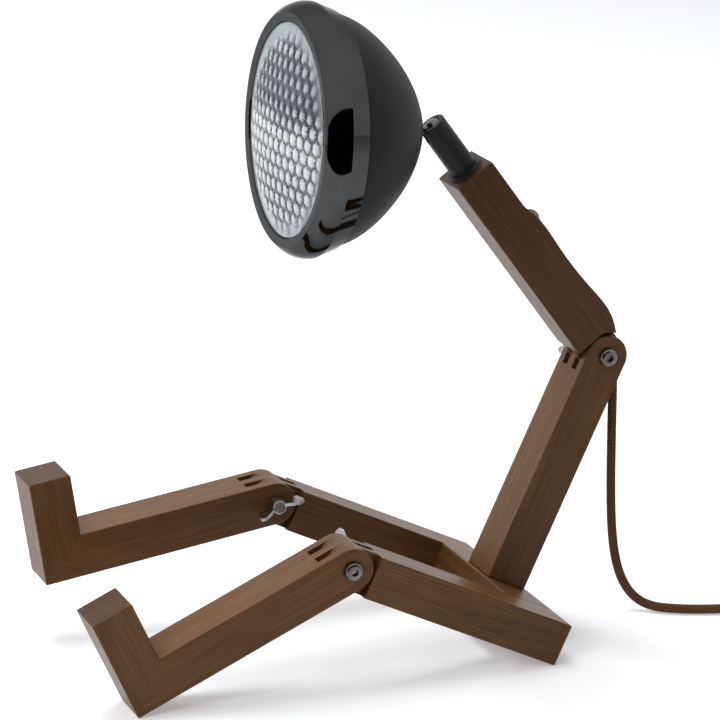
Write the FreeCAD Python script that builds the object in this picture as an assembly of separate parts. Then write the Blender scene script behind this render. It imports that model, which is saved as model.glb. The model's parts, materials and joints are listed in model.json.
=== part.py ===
import FreeCAD, Part
import math
import os

# A desk lamp shaped like a seated robot. A U of timber is its seat and thighs, two shins with
# upturned feet hinge on the thighs, a post stands on the seat as its back, and a chest block
# hinges on the post and carries a round headlamp on a swivelling ball joint.
# Millimetres. +Z is up, the robot faces -Y, and its left leg is on the +X side.
# Every limb is modelled straight, in its own frame, and then tilted about X into its pose.

# Timber sections
stock_width = 30.0
stock_thickness = 24.0
edge_round = 0.8

# Seat, thighs and back post
base_width = 153.0
seat_depth = 30.0
thigh_reach = 136.0
post_height = 139.0
base_pitch = 25.0

# Shins and feet
shin_reach = 137.5
foot_height = 59.3
foot_thickness = 24.0
right_knee_bend = 33.8

# Chest block, seen from the side: pin to top, and the back's depth at the top, step and belly
chest_reach = 136.0
chest_lean = 36.5
chest_top_depth = 12.0
chest_step_depth = 13.4
chest_step_below_top = 31.0
chest_step_length = 7.0
chest_belly_depth = 15.7
chest_belly_height = 38.0
chest_lip_height = 7.5
chest_lip_slope = 0.55
chest_shoulder_angle = 48.0

# Finger joints: three fingers on one limb, two tongues on the other
tongue_width = 5.5
tongue_clearance = 0.15
shoulder_reach = 13.0
slot_reach = 13.8

# Joint bolts and wing nuts
bolt_radius = 3.0
pin_clearance = 0.06
bolt_head_radius = 5.25
bolt_head_height = 3.3
bolt_head_round = 2.0
hex_key_width = 4.0
hex_key_depth = 2.0
bolt_end = 6.0
nut_hub_radius = 5.0
nut_top_radius = 4.0
nut_height = 6.5
wing_span = 27.0
wing_rise = 13.0
wing_thickness = 1.8
wing_tip_radius = 3.4
wing_root_height = 1.6
wing_shoulder_height = 2.6
wing_crown = 0.9
waist_nut_turn = 28.0
left_knee_nut_turn = 49.0
right_knee_nut_turn = 20.0

# Hidden joinery
dowel_radius = 4.0
dowel_length = 30.0
dowel_spacing = 14.0
dowel_clearance = 0.05
screw_radius = 2.0
screw_head_radius = 4.0
screw_head_height = 2.6
screw_spacing = 14.0
post_screw_length = 44.0
screw_recess = 5.0
foot_screw_length = 46.0
foot_plug_radius = 5.4
foot_plug_depth = 5.0

# Switch in the chest's back
switch_below_top = 47.5
switch_ring_radius = 4.4
switch_ring_rise = 0.8
switch_ring_lip = 0.9
switch_ring_round = 0.4
switch_body_radius = 3.6
switch_body_depth = 14.0
button_radius = 2.6
button_rise = 1.3
button_round = 0.5
button_length = 5.0
button_travel = 1.2
button_clearance = 0.15

# Neck tube, its bush and its ball joint
neck_radius = 7.75
neck_wall = 1.25
neck_rise = 34.0
neck_depth = 20.0
neck_lip_radius = 5.1
neck_lip_height = 0.8
neck_edge_round = 0.5
neck_slot_width = 6.0
neck_slot_depth = 8.0
bush_radius = 9.6
bush_collar_radius = 10.2
bush_collar_height = 1.6
bush_length = 16.0
clip_thickness = 1.2
clip_radius = 8.9
clip_groove_depth = 0.5
clip_opening = 4.0
ball_radius = 6.0
ball_depth = 4.2
stud_radius = 2.5
stud_reach = 10.0
stud_flange_radius = 4.3
stud_flange_thickness = 1.0
stud_thread = 9.0
stud_nut_width = 8.0
stud_nut_height = 4.0
cup_clearance = 0.3
cup_below_ball = 2.0
cup_length = 6.3
cup_bore_radius = 2.2
cup_fit = 0.1
cushion_clearance = 0.2
stop_thickness = 2.0
lead_radius = 1.6

# Headlamp: depths are measured back from the plane of its front ring, but for the shell's
# spots, which are measured forward from its back and in from its rim
head_tilt = 3.8
shell_rim_radius = 63.7
bezel_depth = 24.0
bezel_wall = 1.0
bezel_crease_depth = 13.5
bezel_crease_flare = 4.0
bezel_swell_depth = 4.9
bezel_swell_inset = 1.8
bezel_ring_inset = 6.0
bezel_ring_width = 5.2
bezel_chamfer = 0.5
shell_wall = 1.2
shell_back_depth = 77.0
shell_back_radius = 6.0
shell_rim_overlap = 6.0
shell_spots = ((13.0, 30.2), (32.0, 10.2))
shell_back_slope = 0.3
shell_rim_slope = 0.25
lens_thickness = 3.0
lens_rise = 8.5
lens_set_back = 1.2
lens_rim_width = 3.5
gasket_thickness = 1.6
reflector_depth = 42.0
reflector_wall = 0.8
reflector_inset = 1.5
reflector_swell_depth = 23.1
reflector_swell_inset = 16.8
reflector_throat_radius = 13.0
board_radius = 14.5
board_thickness = 1.6
chip_radius = 4.5
chip_height = 1.4
heat_sink_radius = 17.0
heat_sink_length = 14.0
heat_sink_core_radius = 8.0
heat_sink_plate = 2.0
heat_sink_bore_radius = 6.0
heat_sink_bore_floor = 4.0
heat_sink_fins = 10
heat_sink_fin_thickness = 1.6
clip_count = 3
lens_clip_width = 8.0
lens_clip_thickness = 0.8
lens_clip_hook = 1.0
lens_clip_turn = 60.0
part_gap = 0.3

# Mains cord, its gland, coil, tie and plug
cord_radius = 2.6
cord_behind_pin = 10.3
cord_floor_gap = 0.1
gland_top_radius = 2.3
gland_bottom_radius = 2.95
gland_top = 3.0
gland_bottom = -3.5
gland_clearance = 0.1
coil_turns = 7
coil_mid_radius = 30.0
coil_gap = 0.7
coil_floor_gap = 0.9
coil_from_waist = (78.0, 116.7)
tie_thickness = 0.8
tie_width = 6.0
tie_clearance = 0.6
plug_from_coil = (-12.0, 130.0)
plug_length = 34.0
plug_shoulder = 18.7
plug_width = 35.0
plug_neck_width = 13.0
plug_thickness = 13.7
plug_round = 2.4
plug_relief_length = 22.0
plug_relief_end_radius = 3.3
plug_relief_radius = 4.6
plug_pin_radius = 2.0
plug_pin_length = 19.0
plug_pin_root_radius = 1.5
plug_pin_root_length = 8.0
plug_pin_round = 0.9
plug_pin_spacing = 19.0

# The cord's way from the gland to the coil: across, behind the waist, and a share of its height
hanging_way = (
    (0.0, 0.1, 0.752),
    (0.2, 0.2, 0.519),
    (0.3, 1.0, 0.359),
    (0.6, 2.6, 0.246),
)
# Its way down onto the floor: across, behind the waist, and height over the floor
landing_way = (
    (1.4, 5.4, 20.8),
    (3.2, 9.6, 10.3),
    (6.9, 15.3, 3.2),
    (13.2, 22.2, 0.2),
    (20.0, 32.0, 0.0),
    (26.0, 45.0, 0.0),
    (30.8, 62.0, 0.1),
)
coil_approach = (-0.6, -20.0)
# Its way from the coil to the plug: from the coil's end, then back from the plug
leaving_way = (
    (0.0, 14.0, -0.6),
    (-1.0, 36.0, -4.5),
)
tail_way = ((-5.0, 60.0, 0.0),)
plug_approach = ((2.0, -34.0, -2.2), (0.0, -14.0, 0.0))

V = FreeCAD.Vector
X_AXIS = V(1, 0, 0)
Y_AXIS = V(0, 1, 0)
Z_AXIS = V(0, 0, 1)
ZERO = V(0, 0, 0)

# Sizes worked out from the ones above
half_width = stock_width / 2
half_thickness = stock_thickness / 2
leg_offset = base_width / 2 - half_width
slot_width = tongue_width + 2 * tongue_clearance
finger_width = (stock_width - 2 * slot_width) / 3
slot_offset = (finger_width + slot_width) / 2
tongue_inner = slot_offset - tongue_width / 2
tongue_outer = slot_offset + tongue_width / 2
chest_step_top = chest_reach - chest_step_below_top
switch_height = chest_reach - switch_below_top
neck_bore_radius = neck_radius - neck_wall
ball_height = chest_reach + neck_rise - ball_depth
ball_to_front = shell_back_depth + stud_reach
bezel_rear_radius = shell_rim_radius + part_gap + bezel_wall
bezel_radius = bezel_rear_radius + bezel_crease_flare
ring_radius = bezel_radius - bezel_ring_inset
ring_opening_radius = ring_radius - bezel_ring_width
layer_step = 2 * cord_radius + coil_gap
coil_height = cord_radius + coil_floor_gap
coil_layer_turns = coil_turns / 2
coil_outer_radius = coil_mid_radius + layer_step * coil_layer_turns / 2
cord_floor = cord_radius + cord_floor_gap


def box(low, high):
    """Return the box between two opposite corners."""
    size = V(*high) - V(*low)
    return Part.makeBox(size.x, size.y, size.z, V(*low))


def rod(radius, start, end):
    """Return a round rod from start to end."""
    return Part.makeCylinder(radius, (end - start).Length, start, end - start)


def cone(start_radius, end_radius, start, end):
    """Return a round tapered piece from start to end."""
    return Part.makeCone(start_radius, end_radius, (end - start).Length, start, end - start)


def tilted(shape, degrees, pivot=ZERO):
    """Return a copy turned about the X direction through pivot."""
    copy = shape.copy()
    copy.rotate(pivot, X_AXIS, degrees)
    return copy


def moved(shape, offset):
    """Return a copy moved by offset."""
    copy = shape.copy()
    copy.translate(offset)
    return copy


def tilted_point(point, degrees):
    """Return a point turned about the X axis."""
    angle = math.radians(degrees)
    across = point.y * math.cos(angle) - point.z * math.sin(angle)
    up = point.y * math.sin(angle) + point.z * math.cos(angle)
    return V(point.x, across, up)


def side_slab(edges, width):
    """Extrude a closed side outline, drawn in the YZ plane, evenly about X = 0."""
    outline = Part.Wire(edges)
    outline.translate(V(-width / 2, 0, 0))
    return Part.Face(outline).extrude(V(width, 0, 0))


def soften(shape, width, square_faces=()):
    """Round the outlines of both sides, and the corners of the square ends."""
    chosen = []
    for edge in shape.Edges:
        middle = edge.valueAt((edge.FirstParameter + edge.LastParameter) / 2)
        on_side = abs(abs(middle.x) - width / 2) < 0.001
        crosses = edge.BoundBox.XLength > width - 0.001
        at_end = any(abs(getattr(middle, axis) - value) < 0.001 for axis, value in square_faces)
        if on_side or (crosses and at_end):
            chosen.append(edge)
    return shape.makeFillet(edge_round, chosen)


def line(first, second):
    """Return a straight edge in the YZ plane from two (y, z) pairs."""
    return Part.LineSegment(V(0, *first), V(0, *second)).toShape()


def arc(first, middle, last):
    """Return an arc in the YZ plane through three (y, z) pairs."""
    return Part.Arc(V(0, *first), V(0, *middle), V(0, *last)).toShape()


def limb(length):
    """Return a bar along +Y from its round, bored pin end at the origin to a square end."""
    edges = [
        line((0, half_thickness), (length, half_thickness)),
        line((length, half_thickness), (length, -half_thickness)),
        line((length, -half_thickness), (0, -half_thickness)),
        arc((0, -half_thickness), (-half_thickness, 0), (0, half_thickness)),
    ]
    bar = side_slab(edges, stock_width)
    bar = soften(bar, stock_width, [("y", length)])
    return bar.cut(pin_hole())


def pin_hole():
    """Return the cutter for a joint's bolt, along X through the origin."""
    return rod(bolt_radius + pin_clearance, V(-stock_width, 0, 0), V(stock_width, 0, 0))


def finger_slots():
    """Return cutters for the two slots that leave three fingers on a limb along +Y."""
    slots = []
    for side in (-1, 1):
        middle = side * slot_offset
        low = (middle - slot_width / 2, -stock_thickness, -stock_thickness)
        high = (middle + slot_width / 2, slot_reach, stock_thickness)
        slots.append(box(low, high))
    return slots


def tongue_gaps():
    """Return cutters for the three gaps that leave two tongues on a limb along +Y."""
    gaps = []
    spans = (
        (-stock_width, -tongue_outer),
        (-tongue_inner, tongue_inner),
        (tongue_outer, stock_width),
    )
    for low_x, high_x in spans:
        low = (low_x, -stock_thickness, -stock_thickness)
        high = (high_x, shoulder_reach, stock_thickness)
        gaps.append(box(low, high))
    return gaps


def hexagon(width, bottom, height):
    """Return a hexagonal prism on the X axis, given its width across flats."""
    corner = width / math.sqrt(3)
    points = []
    for index in range(6):
        angle = math.radians(60 * index)
        points.append(V(bottom, corner * math.cos(angle), corner * math.sin(angle)))
    return Part.Face(Part.makePolygon(points + points[:1])).extrude(V(height, 0, 0))


def joint_bolt():
    """Return a button head bolt along X: head beyond +X, shank through the joint."""
    shank = rod(bolt_radius, V(-half_width - bolt_end, 0, 0), V(half_width, 0, 0))
    start = V(half_width, 0, 0)
    end = V(half_width + bolt_head_height, 0, 0)
    head = rod(bolt_head_radius, start, end)
    rim = [edge for edge in head.Edges if abs(edge.BoundBox.XMin - end.x) < 0.001]
    head = head.makeFillet(bolt_head_round, rim)
    socket = hexagon(hex_key_width, end.x - hex_key_depth, hex_key_depth + 1)
    return shank.fuse(head).cut(socket).removeSplitter()


def wing_nut(angle):
    """Return a wing nut seated on the joint's -X face, its wings turned by angle about X."""
    face = -half_width
    hub = cone(nut_hub_radius, nut_top_radius, V(face, 0, 0), V(face - nut_height, 0, 0))
    tip = wing_span / 2 - wing_tip_radius
    wings = []
    for side in (-1, 1):
        inner = V(face - wing_root_height, 0, 0)
        low = V(face - wing_shoulder_height, side * (tip + wing_tip_radius / 2), 0)
        end = V(face - wing_rise + wing_tip_radius, side * (tip + wing_tip_radius), 0)
        top = V(face - wing_rise, side * tip, 0)
        round_point = (end + top) * 0.5 + V(-wing_crown, side * wing_crown, 0)
        valley = V(face - nut_height, side * (bolt_radius + pin_clearance), 0)
        middle = V(face - nut_height, 0, 0)
        edges = [
            Part.LineSegment(inner, low).toShape(),
            Part.LineSegment(low, end).toShape(),
            Part.Arc(end, round_point, top).toShape(),
            Part.LineSegment(top, valley).toShape(),
            Part.LineSegment(valley, middle).toShape(),
            Part.LineSegment(middle, inner).toShape(),
        ]
        outline = Part.Wire(edges)
        outline.translate(V(0, 0, -wing_thickness / 2))
        wings.append(Part.Face(outline).extrude(V(0, 0, wing_thickness)))
    nut = hub.fuse(wings).removeSplitter()
    nut = nut.cut(rod(bolt_radius + pin_clearance, V(face + 1, 0, 0), V(face - wing_rise, 0, 0)))
    return tilted(nut, angle)


# Base: seat crossbar, thighs, dowels, post and its screws, in the seat's own level frame,
# whose rear bottom edge is on the X axis

def base_parts():
    parts = {}
    inner = leg_offset - half_width
    length = thigh_reach
    knee = V(0, -thigh_reach, half_thickness)
    dowels = []
    crossbar_edges = [
        line((0, 0), (0, stock_thickness)),
        line((0, stock_thickness), (-seat_depth, stock_thickness)),
        line((-seat_depth, stock_thickness), (-seat_depth, 0)),
        line((-seat_depth, 0), (0, 0)),
    ]
    crossbar = side_slab(crossbar_edges, 2 * inner)
    long_edges = [edge for edge in crossbar.Edges if edge.BoundBox.XLength > inner]
    crossbar = crossbar.makeFillet(edge_round, long_edges)
    thigh = limb(length).cut(tongue_gaps())
    for side, name in ((1, "thigh_left"), (-1, "thigh_right")):
        bar = moved(thigh, knee + V(side * leg_offset, 0, 0))
        for place in (-1, 1):
            y = -seat_depth / 2 + place * dowel_spacing / 2
            start = V(side * (inner - dowel_length / 2), y, half_thickness)
            end = V(side * (inner + dowel_length / 2), y, half_thickness)
            hole = rod(dowel_radius + dowel_clearance, start, end)
            bar = bar.cut(hole)
            crossbar = crossbar.cut(hole)
            dowels.append(rod(dowel_radius, start, end))
        parts[name] = bar
    parts["seat_dowels"] = Part.makeCompound(dowels)

    post_pin = V(0, -seat_depth / 2, stock_thickness + post_height)
    post = tilted(limb(post_height).cut(finger_slots()), -90)
    screws = []
    for place in (-1, 1):
        foot = V(place * screw_spacing / 2, -seat_depth / 2, screw_recess)
        top = foot + V(0, 0, post_screw_length)
        screws.append(countersunk_screw(foot, top))
        crossbar = crossbar.cut(rod(screw_head_radius + part_gap, foot - V(0, 0, screw_recess + 1),
                                    foot + V(0, 0, screw_head_height)))
        hole = rod(screw_radius + dowel_clearance, foot, top)
        crossbar = crossbar.cut(hole)
        post = post.cut(moved(hole, -post_pin))
    parts["seat_crossbar"] = crossbar
    parts["post_screws"] = Part.makeCompound(screws)
    parts["back_post"] = moved(post.cut(cord_notch()), post_pin)
    parts["waist_bolt"] = moved(joint_bolt(), post_pin)
    return parts, knee, post_pin


def countersunk_screw(foot, top):
    """Return a wood screw from its flat head at foot to its tip at top."""
    along = top - foot
    along.normalize()
    neck = foot + along * screw_head_height
    head = cone(screw_head_radius, screw_radius, foot, neck)
    return head.fuse(rod(screw_radius, neck, top)).removeSplitter()


def cord_notch():
    """Return the cutter that opens the back of the post's middle finger for the cord.

    Its walls stand upright once the post leans back with the seat.
    """
    wall = cord_behind_pin - gland_bottom_radius - gland_clearance
    reach = finger_width / 2 + tongue_clearance
    deep = math.hypot(stock_thickness, wall) * 2
    cutter = box((-reach, wall, -deep), (reach, wall + deep, deep))
    return tilted(cutter, base_pitch)


# Shin, foot and their fastenings, in the shin's frame: knee pin at the origin, sole towards -Y

def shin_parts():
    parts = {}
    sole = -shin_reach
    instep = sole + foot_thickness
    toe = foot_height - half_thickness
    bar = limb(shin_reach).cut(finger_slots())
    bar.rotate(ZERO, Z_AXIS, 180)
    blank_edges = [
        line((sole, -half_thickness), (sole, toe)),
        line((sole, toe), (instep, toe)),
        line((instep, toe), (instep, -half_thickness)),
        line((instep, -half_thickness), (sole, -half_thickness)),
    ]
    foot = side_slab(blank_edges, stock_width)
    foot = soften(foot, stock_width, [("y", sole), ("z", toe)])
    reach = 3 * foot_height
    mitre_edges = [
        line((sole - reach, -half_thickness - reach), (sole + reach, -half_thickness + reach)),
        line((sole + reach, -half_thickness + reach), (sole + reach, -half_thickness - reach)),
        line((sole + reach, -half_thickness - reach), (sole - reach, -half_thickness - reach)),
    ]
    shin_side = side_slab(mitre_edges, 2 * stock_width)
    bar = bar.common(shin_side)
    foot = foot.cut(shin_side)
    head = V(0, sole + foot_plug_depth, 0)
    tip = head + V(0, foot_screw_length, 0)
    screw = countersunk_screw(head, tip)
    bore = rod(foot_plug_radius + dowel_clearance, V(0, sole - 1, 0), head)
    seat = rod(screw_head_radius + dowel_clearance, head, head + V(0, screw_head_height, 0))
    hole = rod(screw_radius + dowel_clearance, head, tip)
    parts["shin"] = bar.cut([seat, hole])
    parts["foot"] = foot.cut([bore, seat, hole])
    parts["foot_screw"] = screw
    parts["foot_plug"] = rod(foot_plug_radius, V(0, sole, 0), head)
    parts["knee_bolt"] = joint_bolt()
    return parts


# Chest block with its switch and the neck's bush, in the chest's frame: waist pin at the
# origin, top towards +Z, front towards -Y

def chest_profile():
    """Return the chest's side outline, from its pin end up the front and down the back."""
    top = chest_reach
    front = -half_thickness
    step_bottom = chest_step_top - chest_step_length
    belly = Part.BSplineCurve()
    step_points = [
        V(0, chest_top_depth, chest_step_top),
        V(0, chest_step_depth, step_bottom),
        V(0, (chest_step_depth + chest_belly_depth) / 2, (step_bottom + chest_belly_height) / 2),
        V(0, chest_belly_depth, chest_belly_height),
        V(0, half_thickness, chest_lip_height),
    ]
    start = V(0, 0, -1)
    end = V(0, -chest_lip_slope, -1)
    belly.interpolate(step_points, InitialTangent=start, FinalTangent=end)
    back = belly.toShape()
    return [
        arc((half_thickness, 0), (0, -half_thickness), (front, 0)),
        line((front, 0), (front, top)),
        line((front, top), (chest_top_depth, top)),
        line((chest_top_depth, top), (chest_top_depth, chest_step_top)),
        back,
        line((half_thickness, chest_lip_height), (half_thickness, 0)),
    ]


def chest_parts():
    parts = {}
    block = side_slab(chest_profile(), stock_width)
    block = soften(block, stock_width, [("z", chest_reach)])
    block = block.cut(chest_gaps())
    block = block.cut(pin_hole())

    top = V(0, 0, chest_reach)
    socket_floor = top - V(0, 0, neck_depth + clip_thickness + 2 * part_gap)
    bush_floor = top - V(0, 0, bush_length)
    block = block.cut(rod(clip_radius + 2 * part_gap, socket_floor, bush_floor))
    block = block.cut(rod(bush_radius + dowel_clearance, bush_floor, top + V(0, 0, 1)))
    bush = rod(bush_radius, bush_floor, top)
    collar_top = top + V(0, 0, bush_collar_height)
    bush = bush.fuse(cone(bush_collar_radius, bush_radius, top, collar_top))
    bush = bush.cut(rod(neck_radius + pin_clearance, bush_floor - V(0, 0, 1), collar_top + V(0, 0, 1)))
    parts["neck_bush"] = bush.removeSplitter()

    seat = chest_back_depth(switch_height)
    ring_face = V(0, seat + switch_ring_rise, switch_height)
    seat_face = V(0, seat - switch_ring_lip, switch_height)
    body_end = V(0, seat - switch_body_depth, switch_height)
    block = block.cut(rod(switch_ring_radius + dowel_clearance, seat_face, ring_face + V(0, 2, 0)))
    block = block.cut(rod(switch_body_radius + dowel_clearance, body_end, seat_face))
    well_floor = V(0, seat_face.y - button_length, switch_height)
    well = rod(button_radius + button_clearance, well_floor, ring_face + V(0, 1, 0))
    ring = rod(switch_ring_radius, seat_face, ring_face)
    outer = [edge for edge in ring.Edges if abs(edge.BoundBox.YMin - ring_face.y) < 0.001]
    ring = ring.makeFillet(switch_ring_round, outer)
    parts["switch_ring"] = ring.cut(well)
    parts["switch_body"] = rod(switch_body_radius, body_end, seat_face).cut(well)
    button_face = V(0, ring_face.y + button_rise, switch_height)
    button_floor = well_floor + V(0, button_travel + part_gap, 0)
    button = rod(button_radius, button_floor, button_face)
    crown = [edge for edge in button.Edges if abs(edge.BoundBox.YMin - button_face.y) < 0.001]
    parts["switch_button"] = button.makeFillet(button_round, crown)

    low = V(0, 0, shoulder_reach)
    block = block.cut(rod(lead_radius + part_gap, low - V(0, 0, 1), socket_floor + V(0, 0, 1)))
    below = V(0, 0, switch_height - switch_body_radius - part_gap)
    above = V(0, 0, switch_height + switch_body_radius + part_gap)
    leads = [rod(lead_radius, low, below), rod(lead_radius, above, socket_floor)]
    parts["chest_leads"] = Part.makeCompound(leads)
    parts["chest_block"] = block
    return parts


def chest_back_depth(height):
    """Return how far the chest's back stands behind the pin at a height."""
    back = chest_profile()[4]
    level = Part.LineSegment(V(0, 0, height), V(0, stock_thickness, height)).toShape()
    return back.distToShape(level)[1][0][0].y


def chest_gaps():
    """Return cutters that leave two tongues below the chest's shoulders.

    The shoulders are square at the front and follow the post's knuckle at the back.
    """
    lip = math.hypot(chest_lip_height, half_thickness)
    corner = math.sqrt(lip ** 2 - shoulder_reach ** 2)
    far = 3 * stock_thickness
    shoulder = (corner, shoulder_reach)
    heel = (half_thickness, chest_lip_height)
    edges = [
        line((-far, shoulder_reach), shoulder),
        arc(shoulder, polar(lip, chest_shoulder_angle), heel),
        line(heel, (far, -far)),
        line((far, -far), (-far, -far)),
        line((-far, -far), (-far, shoulder_reach)),
    ]
    spans = (
        (-stock_width, -tongue_outer),
        (tongue_outer, stock_width),
    )
    gaps = []
    for low_x, high_x in spans:
        slab = side_slab(edges, high_x - low_x)
        gaps.append(moved(slab, V((low_x + high_x) / 2, 0, 0)))
    low = (-tongue_inner, -far, -far)
    high = (tongue_inner, far, shoulder_reach)
    gaps.append(box(low, high))
    return gaps


def polar(radius, degrees):
    """Return (y, z) at a radius and an angle up from +Y."""
    angle = math.radians(degrees)
    return radius * math.cos(angle), radius * math.sin(angle)


# Neck tube, retaining clip, ball cup and its rubber cushion, in the chest's frame

def neck_parts():
    parts = {}
    bottom = V(0, 0, chest_reach - neck_depth)
    top = V(0, 0, chest_reach + neck_rise)
    ball = V(0, 0, ball_height)
    tube = rod(neck_radius, bottom, top)
    rim = [edge for edge in tube.Edges if abs(edge.BoundBox.ZMin - top.z) < 0.001]
    tube = tube.makeFillet(neck_edge_round, rim)
    lip_floor = top - V(0, 0, neck_lip_height)
    tube = tube.cut(rod(neck_bore_radius, bottom - V(0, 0, 1), lip_floor))
    tube = tube.cut(rod(neck_lip_radius, lip_floor, top + V(0, 0, 1)))
    slot_floor = top.z - neck_slot_depth + neck_slot_width / 2
    half_slot = neck_slot_width / 2
    slot = box((-half_slot, -2 * neck_radius, slot_floor), (half_slot, 0, top.z + 1))
    slot = slot.fuse(rod(half_slot, V(0, -2 * neck_radius, slot_floor), V(0, 0, slot_floor)))
    parts["neck_tube"] = tube.cut(slot).removeSplitter()

    clip_top = V(0, 0, chest_reach - bush_length - part_gap)
    clip_bottom = clip_top - V(0, 0, clip_thickness)
    core_radius = neck_radius - clip_groove_depth
    groove = rod(neck_radius, clip_bottom, clip_top).cut(rod(core_radius, clip_bottom, clip_top))
    parts["neck_tube"] = parts["neck_tube"].cut(groove)
    clip = rod(clip_radius, clip_bottom, clip_top)
    clip = clip.cut(rod(core_radius + dowel_clearance, clip_bottom, clip_top))
    half_opening = clip_opening / 2
    clip_gap = box((-half_opening, 0, clip_bottom.z), (half_opening, 2 * clip_radius, clip_top.z))
    parts["neck_clip"] = clip.cut(clip_gap)

    cup_top = ball - V(0, 0, cup_below_ball)
    cup_bottom = cup_top - V(0, 0, cup_length)
    cup = rod(neck_bore_radius - cup_fit, cup_bottom, cup_top)
    cup = cup.cut(Part.makeSphere(ball_radius + cup_clearance, ball))
    parts["ball_cup"] = cup.cut(rod(cup_bore_radius, cup_bottom, cup_top))

    stop_top = bottom + V(0, 0, stop_thickness)
    cushion = rod(neck_bore_radius - cushion_clearance, stop_top, cup_bottom)
    parts["cup_cushion"] = cushion.cut(rod(cup_bore_radius, stop_top, cup_bottom))
    stop = rod(neck_bore_radius - dowel_clearance, bottom, stop_top)
    parts["cushion_stop"] = stop.cut(rod(cup_bore_radius, bottom, stop_top))
    return parts


# Ball stud, in the head's frame: ball at the origin, face towards -Y

def ball_parts():
    parts = {}
    back = V(0, -stud_reach, 0)
    ball = Part.makeSphere(ball_radius)
    stem = rod(stud_radius, ZERO, back - V(0, stud_thread, 0))
    flange = rod(stud_flange_radius, back + V(0, stud_flange_thickness, 0), back)
    stud = ball.fuse([stem, flange]).removeSplitter()
    parts["ball_stud"] = stud
    nut_back = back - V(0, shell_wall + part_gap, 0)
    nut = hexagon(stud_nut_width, 0, stud_nut_height)
    nut.rotate(ZERO, Z_AXIS, -90)
    nut = moved(nut, nut_back)
    nut = nut.cut(rod(stud_radius + dowel_clearance, nut_back, nut_back - V(0, stud_nut_height, 0)))
    parts["stud_nut"] = nut
    return parts


# Headlamp, in the head's frame. Profiles are drawn as (depth behind the front plane, radius)

def head_point(depth, radius):
    """Return the profile point at a depth behind the front plane and a radius."""
    return V(0, depth - ball_to_front, radius)


def revolved(edges):
    """Turn a closed half profile about the head's axis."""
    return Part.Face(Part.Wire(edges)).revolve(ZERO, Y_AXIS, 360)


def profile_line(first, second):
    return Part.LineSegment(head_point(*first), head_point(*second)).toShape()


def profile_arc(first, middle, last):
    return Part.Arc(head_point(*first), head_point(*middle), head_point(*last)).toShape()


def shell_curve(spots):
    """Return the shell's curve through spots, from its flat back spot to its rim."""
    curve = Part.BSplineCurve()
    start = V(0, -shell_back_slope, 1) * shell_back_radius
    end = V(0, -1, shell_rim_slope) * shell_back_radius
    points = [head_point(*spot) for spot in spots]
    curve.interpolate(points, InitialTangent=start, FinalTangent=end)
    return curve


def shell_curves():
    """Return the shell's outer and inner curves, one wall apart."""
    spots = [(shell_back_depth, shell_back_radius)]
    for forward, inset in shell_spots:
        spots.append((shell_back_depth - forward, shell_rim_radius - inset))
    spots.append((bezel_depth, shell_rim_radius))
    outer = shell_curve(spots)
    inner_spots = [(shell_back_depth - shell_wall, shell_back_radius)]
    steps = 8
    for step in range(1, steps):
        share = step / steps
        place = outer.FirstParameter + (outer.LastParameter - outer.FirstParameter) * share
        along = outer.tangent(place)[0]
        inward = V(0, -along.z, along.y) * shell_wall
        point = outer.value(place) + inward
        inner_spots.append((point.y + ball_to_front, point.z))
    inner_spots.append((bezel_depth, shell_rim_radius - shell_wall))
    return outer, shell_curve(inner_spots)


def shell_part():
    """Return the thin shell: a bowl with a flat spot for the stud and a straight rim."""
    rim_front = bezel_depth - shell_rim_overlap
    inner_radius = shell_rim_radius - shell_wall
    outer, inner = shell_curves()
    hole = stud_radius + pin_clearance
    back = shell_back_depth
    edges = [
        profile_line((back, hole), (back, shell_back_radius)),
        outer.toShape(),
        profile_line((bezel_depth, shell_rim_radius), (rim_front, shell_rim_radius)),
        profile_line((rim_front, shell_rim_radius), (rim_front, inner_radius)),
        profile_line((rim_front, inner_radius), (bezel_depth, inner_radius)),
        inner.toShape(),
        profile_line((back - shell_wall, shell_back_radius), (back - shell_wall, hole)),
        profile_line((back - shell_wall, hole), (back, hole)),
    ]
    return revolved(edges)


def bezel_part():
    """Return the bezel: flat front ring, swelling side, crease and a rear band."""
    wall = bezel_wall
    swell = (bezel_swell_depth, bezel_radius - bezel_swell_inset)
    inner_swell = (bezel_swell_depth + wall / 2, bezel_radius - bezel_swell_inset - wall)
    lip = lens_set_back
    edge = (bezel_chamfer, ring_opening_radius + bezel_chamfer)
    edges = [
        profile_line((lip, ring_opening_radius), edge),
        profile_line(edge, (0, ring_radius)),
        profile_arc((0, ring_radius), swell, (bezel_crease_depth, bezel_radius)),
        profile_line((bezel_crease_depth, bezel_radius), (bezel_depth, bezel_rear_radius)),
        profile_line((bezel_depth, bezel_rear_radius), (bezel_depth, bezel_rear_radius - wall)),
        profile_line((bezel_depth, bezel_rear_radius - wall), (bezel_crease_depth, bezel_radius - wall)),
        profile_arc((bezel_crease_depth, bezel_radius - wall), inner_swell, (wall, ring_radius - wall)),
        profile_line((wall, ring_radius - wall), (lip, ring_opening_radius)),
    ]
    return revolved(edges)


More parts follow.
